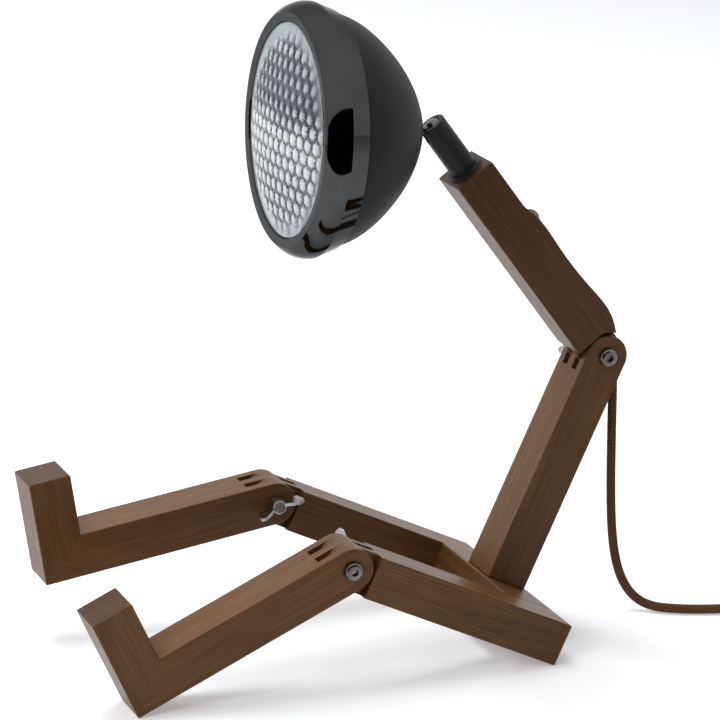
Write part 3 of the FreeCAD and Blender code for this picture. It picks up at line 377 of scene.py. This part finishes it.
for names, material in (
    (("seat_dowels",), beech()),
    (("waist_bolt", "knee_bolt_left", "knee_bolt_right"), dark_steel),
    (("post_screws", "foot_screw_left", "foot_screw_right", "stud_nut", "neck_clip"), dark_steel),
    (("waist_wing_nut", "knee_wing_nut_left", "knee_wing_nut_right"), plated_steel),
    (("cord_gland", "lens_gasket", "cup_cushion"), rubber),
    (("cord_tie", "plug_body", "switch_body"), black_plastic),
    (("cushion_stop", "ball_cup"), cup_plastic),
    (("led_board",), board_plastic),
    (("led_chip",), chip_phosphor),
    (("plug_pins",), brass),
    (("chest_leads",), sheath),
    (("switch_ring", "ball_stud"), ring_metal),
    (("switch_button",), button_plastic),
    (("neck_tube", "neck_bush"), neck_paint),
    (("reflector", "heat_sink", "lens_clips"), aluminium),
):
    for name in names:
        paint(name, material)


# Headlamp materials

def shell_paint():
    """Fine matte powder coat with faint patches."""
    tree = Nodes("shell_powder_coat")
    local = tree.coords(-HEAD_TILT, BALL)
    peel = tree.noise(local, 2300, roughness=0.6)
    patch = tree.noise(local, 30)
    base = tree.ramp(patch, [(0.3, (0.0190, 0.0192, 0.0205)), (0.7, (0.0235, 0.0238, 0.0255))])
    tree.set(Base_Color=base, Roughness=tree.span(peel, 0.3, 0.7, 0.50, 0.60), Specular_IOR_Level=0.12)
    tree.bump(peel, 0.25, 0.00004)
    return tree.material


def black_chrome():
    """Dark mirror metal with a slight ripple and haze."""
    tree = Nodes("black_chrome")
    local = tree.coords(-HEAD_TILT, BALL)
    haze = tree.noise(local, 55)
    ripple = tree.noise(local, 38, detail=1.0)
    base = tree.ramp(haze, [(0.3, (0.052, 0.053, 0.054)), (0.7, (0.064, 0.065, 0.066))])
    tree.set(Base_Color=base, Metallic=1.0, Roughness=tree.span(haze, 0.3, 0.7, 0.04, 0.08),
             Specular_Tint=(0.5, 0.5, 0.5))
    tree.bump(ripple, 0.12, 0.0004)
    return tree.material


paint("head_shell", shell_paint())
paint("bezel", black_chrome())


# Lens: a pressed glass dome whose face carries rows of hexagonal pillows

LENS_RADIUS = 0.0575
LENS_RISE = 0.0066
CROWN_DEPTH = -0.0062
ROW_PITCH = 0.0073
CELL_PITCH = 0.0085
CELL_REACH = 0.0530
CELL_SHIFT = 0.0050
PILLOW_HEIGHT = 0.0011
BORDER_WIDTH = 0.007
GLASS_BORDER = (0.33, 0.375, 0.39)
LENS_WALL = 0.0024
LENS_BACK = 0.0045
LENS_RINGS = 150
LENS_SPOKES = 420


def dome_depth(radius):
    """Return how far the lens's face stands behind the front plane at a radius."""
    curve = (LENS_RADIUS ** 2 + LENS_RISE ** 2) / (2 * LENS_RISE)
    return CROWN_DEPTH + curve - math.sqrt(curve ** 2 - min(radius, LENS_RADIUS) ** 2)


def cell_at(x, z):
    """Return the hexagonal cell's centre nearest a point, and how near its edge the point is."""
    best = None
    row = round(z / ROW_PITCH)
    for candidate in (row - 1, row, row + 1):
        start = 0.5 * CELL_PITCH if candidate % 2 else 0.0
        centre_x = round((x - start) / CELL_PITCH) * CELL_PITCH + start
        centre_z = candidate * ROW_PITCH
        dx = abs(x - centre_x)
        dz = abs(z - centre_z)
        across = dx / (CELL_PITCH / 2)
        slant = dx / CELL_PITCH + 1.5 * dz / ROW_PITCH
        edge = max(across, slant)
        if best is None or edge < best[0]:
            best = (edge, centre_x, centre_z)
    return best


def cell_reflection_tone(centre_x, centre_z):
    """Return a cell's share of brightness in the painted reflection, spread evenly over 0 to 1 without order.
    """
    return math.fmod(abs(math.sin(centre_x * 5171.0 + centre_z * 9337.0)) * 61.7, 1.0)


def lens_piece():
    """Build the lens's outer face with real pillows, closed by a flat back face."""
    form = bmesh.new()
    rows = []
    tones = []
    for ring in range(LENS_RINGS + 1):
        radius = LENS_RADIUS * ring / LENS_RINGS
        points = []
        count = 1 if ring == 0 else LENS_SPOKES
        for spoke in range(count):
            angle = 2 * math.pi * spoke / LENS_SPOKES
            x = radius * math.cos(angle)
            z = radius * math.sin(angle)
            edge, centre_x, centre_z = cell_at(x, z)
            lift = 0.0
            tone = 0.55
            if math.hypot(centre_x - CELL_SHIFT, centre_z) < CELL_REACH:
                tone = min(1.0, edge)
                lift = PILLOW_HEIGHT * (1 - tone ** 2.2)
            depth = dome_depth(radius) - lift + PILLOW_HEIGHT
            points.append(form.verts.new(Vector((x, depth - FRONT_FROM_BALL, z))))
            tones.append((tone, cell_reflection_tone(centre_x, centre_z)))
        rows.append(points)
    for inner, outer in zip(rows, rows[1:]):
        for spoke in range(LENS_SPOKES):
            after = (spoke + 1) % LENS_SPOKES
            if len(inner) == 1:
                form.faces.new((inner[0], outer[after], outer[spoke]))
            else:
                form.faces.new((inner[spoke], inner[after], outer[after], outer[spoke]))
    # The skirt goes back to the seat and in behind, so the glass is a closed body
    wall = [form.verts.new(vert.co + Vector((0, LENS_WALL, 0))) for vert in rows[-1]]
    centre = form.verts.new(Vector((0, CROWN_DEPTH + LENS_BACK - FRONT_FROM_BALL, 0)))
    for spoke in range(LENS_SPOKES):
        after = (spoke + 1) % LENS_SPOKES
        form.faces.new((rows[-1][spoke], rows[-1][after], wall[after], wall[spoke]))
        form.faces.new((wall[spoke], wall[after], centre))
    piece = smooth_piece("lens_face", form)
    data = piece.data
    for index, name in enumerate(("edge", "cell")):
        layer = data.attributes.new(name, "FLOAT", "POINT")
        values = [pair[index] for pair in tones]
        values += [0.5] * (len(data.vertices) - len(values))
        layer.data.foreach_set("value", values)
    data.transform(Matrix.Translation(BALL) @ Matrix.Rotation(-HEAD_TILT, 4, "X"))
    return piece


def lens_glass():
    """Pressed glass over a reflector: the hexagonal cells are the glass's own, but their brightness and the
    dark ragged lines between them are painted reflection and shade of the reflector behind; a pale border.
    """
    tree = Nodes("pressed_glass_painted_reflection")
    local = tree.coords(-HEAD_TILT, BALL)
    x, _, z = tree.split(local)
    edge = tree.attribute("edge")
    cell = tree.attribute("cell")
    cloud = tree.noise(local, (34, 1, 70), (0.3, 0, 0.7), roughness=0.55)
    speck = tree.noise(local, (420, 1, 420), roughness=0.6)
    # Painted reflection: the reflector behind is painted in as a dim, busy band above the middle and brighter
    # below it
    level = tree.math("ADD", z, tree.math("MULTIPLY_ADD", cloud, 0.03, -0.015))
    dim = tree.ramp(tree.span(level, -0.055, 0.055), [
        (0.0, (0.35, 0.35, 0.35)), (0.30, (0.22, 0.22, 0.22)), (0.50, (0.0, 0.0, 0.0)),
        (0.64, (0.95, 0.95, 0.95)), (0.84, (0.75, 0.75, 0.75)), (1.0, (0.35, 0.35, 0.35))])
    spark = tree.noise(local, (950, 1, 620), detail=2.0, roughness=0.6)
    # Painted reflection and shade: the cells are painted bright, greyer or not cell by cell, and the ragged
    # lines between them are painted dark
    bright = tree.mix(dim, (0.74, 0.75, 0.755), (0.26, 0.295, 0.33))
    bright = tree.mix(tree.span(cell, 0.0, 1.0, 0.0, 0.35), bright, (0.60, 0.60, 0.60))
    dark = tree.mix(tree.span(cloud, 0.35, 0.65), (0.016, 0.020, 0.028), (0.060, 0.070, 0.085))
    ragged = tree.math("MULTIPLY_ADD", tree.math("SUBTRACT", spark, 0.5), 1.1, edge)
    ragged = tree.math("MULTIPLY_ADD", dim, 0.36, ragged)
    line = tree.span(ragged, 0.60, 0.96)
    base = tree.mix(line, bright, dark)
    # The plain border round the cells is pale and a little green
    reach = tree.length(tree.math("SUBTRACT", x, CELL_SHIFT), z)
    border = CELL_REACH + 0.001
    base = tree.mix(tree.span(reach, border - BORDER_WIDTH, border), base, GLASS_BORDER)
    tree.set(Base_Color=base, Roughness=0.22, Specular_IOR_Level=0.35, Coat_Weight=0.1, Coat_Roughness=0.03)
    tree.bump(speck, 0.2, 0.0001)
    return tree.material


lens = lens_piece()
lens.data.materials.append(lens_glass())
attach(lens, "head")
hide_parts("lens")


# Switch: a knurled collar and a dished cap that stand up from the chest's back

OUTWARD = -Vector(joints["switch_press"]["axis"]).normalized()
# Each profile goes by radius and height, from the inside of the top outwards and down
COLLAR_PROFILE = ((0.0030, 0.0020), (0.0032, 0.0024), (0.0037, 0.0024), (0.0041, 0.0021), (0.0042, 0.0016),
                  (0.0044, 0.0014), (0.0044, 0.0003), (0.0041, -0.0001), (0.0030, -0.0001))
CAP_PROFILE = ((0.0, 0.0029), (0.0012, 0.0030), (0.0019, 0.0033), (0.0024, 0.0032), (0.0026, 0.0028),
               (0.0026, 0.0001), (0.0, 0.0001))
FLANGE = 0.0008
KNURLS = 24
KNURL_FROM = 0.0043
KNURL_DEPTH = 0.00018
SWITCH_SPOKES = 6 * KNURLS


def turned(name, profile, knurled=False):
    """Turn a profile about the switch's axis, on the chest's back."""
    ring_node = nodes["switch_ring"]
    corners = [ring_node.matrix_world @ vert.co for vert in ring_node.data.vertices]
    middle = sum(corners, Vector()) / len(corners)
    height_of_top = max(OUTWARD.dot(corner) for corner in corners)
    seat = middle + OUTWARD * (height_of_top - FLANGE - OUTWARD.dot(middle))
    seat.x = 0.0
    side = Vector((1, 0, 0))
    up = OUTWARD.cross(side)
    form = bmesh.new()
    rings = []
    for radius, height in profile:
        ring = []
        for spoke in range(SWITCH_SPOKES):
            angle = 2 * math.pi * spoke / SWITCH_SPOKES
            reach = radius
            if knurled and radius > KNURL_FROM:
                reach -= KNURL_DEPTH * (0.5 + 0.5 * math.cos(KNURLS * angle))
            out = side * math.cos(angle) + up * math.sin(angle)
            ring.append(form.verts.new(seat + OUTWARD * height + out * reach))
        rings.append(ring)
    pairs = list(zip(rings, rings[1:]))
    if knurled:
        pairs.append((rings[-1], rings[0]))
    for first, second in pairs:
        for spoke in range(SWITCH_SPOKES):
            after = (spoke + 1) % SWITCH_SPOKES
            form.faces.new((first[spoke], first[after], second[after], second[spoke]))
    bmesh.ops.remove_doubles(form, verts=form.verts, dist=1e-7)
    return smooth_piece(name, form)


collar = turned("switch_collar", COLLAR_PROFILE, knurled=True)
collar.data.materials.append(ring_metal)
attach(collar, "chest")
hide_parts("switch_ring")
cap = turned("switch_cap", CAP_PROFILE)
cap.data.materials.append(button_plastic)
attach(cap, "button")
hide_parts("switch_button")


# Mains cord: one spline from the gland down to the floor, round the coil and out to the plug

CORD_RADIUS = 0.0026
CORD_FLOOR = 0.0027
COIL_GAP = 0.0007
COIL_TURNS = 7
COIL_MID_RADIUS = 0.030
COIL_LEVEL = 0.0035
LAYER = 2 * CORD_RADIUS + COIL_GAP
LAYER_TURNS = COIL_TURNS / 2
OUTER_RADIUS = COIL_MID_RADIUS + LAYER * LAYER_TURNS / 2
POINTS_PER_TURN = 16
STRANDS_ALONG = 1150.0
STRANDS_AROUND = 8.0
# A quadratic spline runs this much inside a ring of its control points
RING_SHARE = 0.75 + 0.25 * math.cos(2 * math.pi / POINTS_PER_TURN)


def coil_route(centre):
    """Wind inwards on the lower layer, then outwards on the upper one."""
    points = []
    for index in range(COIL_TURNS * POINTS_PER_TURN + 1):
        turn = index / POINTS_PER_TURN
        radius = (OUTER_RADIUS - LAYER * (LAYER_TURNS - abs(turn - LAYER_TURNS))) / RING_SHARE
        climb = min(1.0, max(0.0, 2 * (turn - LAYER_TURNS) + 0.5))
        height = COIL_LEVEL + LAYER * (1 - math.cos(math.pi * climb)) / 2
        angle = math.pi - 2 * math.pi * turn
        points.append(centre + Vector((radius * math.cos(angle), radius * math.sin(angle), height)))
    return points


def cord_route():
    """Follow the cord of the solids, point by point."""
    axis = WAIST.y + 0.0103
    foot = Vector((0, axis, WAIST.z + 0.0002611 - 0.0035))
    points = [foot]
    for across, behind, share in ((0, 0.0001, 0.752), (0.0002, 0.0002, 0.519),
                                  (0.0003, 0.0010, 0.359), (0.0006, 0.0026, 0.246)):
        points.append(Vector((across, axis + behind, foot.z * share)))
    for across, behind, height in ((0.0014, 0.0054, 0.0208), (0.0032, 0.0096, 0.0103),
                                   (0.0069, 0.0153, 0.0032), (0.0132, 0.0222, 0.0002),
                                   (0.0200, 0.0320, 0), (0.0260, 0.0450, 0), (0.0308, 0.0620, 0.0001)):
        points.append(Vector((across, axis + behind, CORD_FLOOR + height)))
    centre = Vector((0.078, WAIST.y + 0.1167, 0))
    begin = Vector((centre.x - OUTER_RADIUS, centre.y - 2 * CORD_RADIUS, COIL_LEVEL))
    finish = Vector((centre.x - OUTER_RADIUS, centre.y + 2 * CORD_RADIUS, COIL_LEVEL + LAYER))
    points.append(begin + Vector((-0.0006, -0.020, 0)))
    points.append(begin)
    points += coil_route(centre)
    points.append(finish)
    points.append(finish + Vector((0, 0.014, -0.0006)))
    points.append(finish + Vector((-0.001, 0.036, -0.0045)))
    points.append(Vector((finish.x - 0.005, finish.y + 0.060, CORD_FLOOR)))
    rear = Vector((begin.x - 0.012, begin.y + 0.130, 0.00685))
    points.append(rear + Vector((0.002, -0.034, -0.0022)))
    points.append(rear + Vector((0, -0.014, 0)))
    points.append(rear)
    return points


def cord_piece(points):
    curve = bpy.data.curves.new("mains_cord", "CURVE")
    curve.dimensions = "3D"
    curve.bevel_depth = CORD_RADIUS
    curve.bevel_resolution = 5
    curve.resolution_u = 6
    curve.use_fill_caps = True
    spline = curve.splines.new("NURBS")
    spline.points.add(len(points) - 1)
    for slot, point in zip(spline.points, points):
        slot.co = (point.x, point.y, point.z, 1.0)
    spline.order_u = 3
    spline.use_endpoint_u = True
    return placed("mains_cord", curve)


def braid():
    """Woven textile sleeve: two families of slanted strands that cross over and under, with painted shade on
    the strands that pass under and in the grooves between strands.
    """
    tree = Nodes("woven_textile")
    source = tree.tree.nodes.new("ShaderNodeTexCoord")
    u, v, _ = tree.split(source.outputs["UV"])
    along = tree.math("MULTIPLY", u, STRANDS_ALONG)
    around = tree.math("MULTIPLY", v, STRANDS_AROUND)
    first = tree.math("FRACT", tree.math("ADD", along, around))
    second = tree.math("FRACT", tree.math("SUBTRACT", along, around))
    ridge_a = tree.math("SINE", tree.math("MULTIPLY", first, math.pi))
    ridge_b = tree.math("SINE", tree.math("MULTIPLY", second, math.pi))
    over = tree.math("GREATER_THAN", ridge_a, ridge_b)
    height = tree.math("MAXIMUM", ridge_a, ridge_b)
    local = tree.coords()
    fuzz = tree.noise(local, 1600, roughness=0.65)
    # Painted shade: the strand that passes under is painted darker than the one on top, and the grooves
    # between strands are painted dark
    light = tree.mix(over, (0.150, 0.066, 0.032), (0.112, 0.050, 0.025))
    base = tree.mix(tree.span(height, 0.35, 0.95), (0.040, 0.018, 0.009), light)
    base = tree.mix(tree.span(fuzz, 0.35, 0.7, 0.0, 0.2), base, (0.20, 0.115, 0.073))
    tree.set(Base_Color=base, Roughness=0.9, Sheen_Weight=0.06, Sheen_Roughness=0.5, Specular_IOR_Level=0.1)
    tree.bump(tree.math("MULTIPLY_ADD", fuzz, 0.3, height), 0.5, 0.0003)
    return tree.material


cord_points = cord_route()
cord = cord_piece(cord_points)
cord.data.materials.append(braid())
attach(cord, "base")
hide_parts("cord_lead", "cord_coil", "cord_tail")


# Floor, light and camera

FLOOR_GLOW = 0.31
FLOOR_SIDE = 18.0
FLOOR_DROP = 0.0002
SKY_LIGHT = 0.20


def seen_or_mirrored(tree):
    """Return 1 for camera, mirror and glass rays, and 0 for rays that carry light."""
    path = tree.nodes.new("ShaderNodeLightPath")
    total = path.outputs["Is Camera Ray"]
    for name in ("Is Glossy Ray", "Is Transmission Ray"):
        add = tree.nodes.new("ShaderNodeMath")
        add.operation = "MAXIMUM"
        tree.links.new(total, add.inputs[0])
        tree.links.new(path.outputs[name], add.inputs[1])
        total = add.outputs[0]
    return total


def flat_piece(name, width, depth):
    """A single level face about the origin."""
    x = width / 2
    y = depth / 2
    mesh = bpy.data.meshes.new(name)
    mesh.from_pydata([(-x, -y, 0), (x, -y, 0), (x, y, 0), (-x, y, 0)], [], [(0, 1, 2, 3)])
    return placed(name, mesh)


def aim(thing, place, target):
    """Put a lamp or a card at a place, facing a target."""
    thing.location = place
    thing.rotation_mode = "QUATERNION"
    thing.rotation_quaternion = (Vector(target) - Vector(place)).to_track_quat("-Z", "Y")


def stage_floor():
    """A pale floor that is seen lighter than it lights, and keeps the lamp's shadow."""
    floor = flat_piece("floor", FLOOR_SIDE, FLOOR_SIDE)
    tree = Nodes("pale_floor")
    glow = tree.math("MULTIPLY", seen_or_mirrored(tree.tree), FLOOR_GLOW)
    tree.set(Base_Color=(0.93, 0.94, 0.96), Roughness=0.85, Specular_IOR_Level=0.1,
             Emission_Color=(1, 1, 1), Emission_Strength=glow)
    floor.data.materials.append(tree.material)
    floor.location.z = -FLOOR_DROP


def soft_light(name, place, target, side, power, colour):
    data = bpy.data.lights.new(name, "AREA")
    data.shape = "SQUARE"
    data.size = side
    data.energy = power
    data.color = colour
    light = placed(name, data)
    light.visible_glossy = False
    aim(light, place, target)


def card(name, place, target, width, height, shade):
    """A studio card that only reflections see."""
    flag = flat_piece(name, width, height)
    tree = Nodes(name)
    tree.set(Base_Color=(0, 0, 0), Roughness=1.0, Specular_IOR_Level=0.0,
             Emission_Color=(shade, shade, shade), Emission_Strength=1.0)
    flag.data.materials.append(tree.material)
    aim(flag, place, target)
    flag.visible_camera = False
    flag.visible_diffuse = False
    flag.visible_shadow = False
    flag.visible_transmission = False


def world():
    """A soft sky: dim and cool as light, white where it is seen or mirrored."""
    made = bpy.data.worlds.new("studio")
    bpy.context.scene.world = made
    made.use_nodes = True
    tree = made.node_tree
    tree.nodes.clear()
    output = tree.nodes.new("ShaderNodeOutputWorld")
    mix = tree.nodes.new("ShaderNodeMixShader")
    lit = tree.nodes.new("ShaderNodeBackground")
    lit.inputs["Color"].default_value = (0.93, 0.96, 1.0, 1)
    lit.inputs["Strength"].default_value = SKY_LIGHT
    seen = tree.nodes.new("ShaderNodeBackground")
    seen.inputs["Color"].default_value = (1, 1, 1, 1)
    seen.inputs["Strength"].default_value = 1.0
    tree.links.new(seen_or_mirrored(tree), mix.inputs[0])
    tree.links.new(lit.outputs[0], mix.inputs[1])
    tree.links.new(seen.outputs[0], mix.inputs[2])
    tree.links.new(mix.outputs[0], output.inputs[0])


# The photograph's camera, solved from the lamp's outlines
EYE_FROM_WAIST = (1.903472, -0.861098, 0.581319)
AIM_FROM_EYE = (-1.903472, 0.745847, -0.585386)
CAMERA_YAW = math.radians(-0.658)
CAMERA_PITCH = math.radians(-0.233)
CAMERA_ROLL = math.radians(-0.531)
CAMERA_LENS = 193.63


def photo_camera():
    forward = Vector(AIM_FROM_EYE).normalized()
    right = forward.cross(Vector((0, 0, 1))).normalized()
    up = right.cross(forward)
    world_to_camera = Matrix((right, up, -forward))
    turn = (Matrix.Rotation(CAMERA_ROLL, 3, "Z") @ Matrix.Rotation(CAMERA_PITCH, 3, "X")
            @ Matrix.Rotation(CAMERA_YAW, 3, "Y"))
    rotation = (turn @ world_to_camera).transposed()
    data = bpy.data.cameras.new("photo_camera")
    data.sensor_width = 36.0
    data.lens = CAMERA_LENS
    data.clip_start = 0.1
    data.clip_end = 60.0
    camera = placed("photo_camera", data)
    camera.matrix_world = Matrix.Translation(WAIST + Vector(EYE_FROM_WAIST)) @ rotation.to_4x4()
    bpy.context.scene.camera = camera


bpy.context.scene.view_settings.view_transform = "Standard"
stage_floor()
world()
photo_camera()
soft_light("top_softbox", (-0.5, -0.2, 2.2), (0, 0.05, 0.1), side=1.3, power=34, colour=(0.96, 0.98, 1.0))
soft_light("key_softbox", (1.3, -1.7, 1.7), (0, 0, 0.12), side=1.2, power=21, colour=(1.0, 0.98, 0.95))
soft_light("back_softbox", (-2.2, -1.4, 1.3), (0, 0.05, 0.15), side=1.0, power=36, colour=(0.95, 0.97, 1.0))
card("dark_flag", (0.6, -0.7, 0.31), (0.0, -0.7, 0.31), width=2.3, height=0.62, shade=0.008)
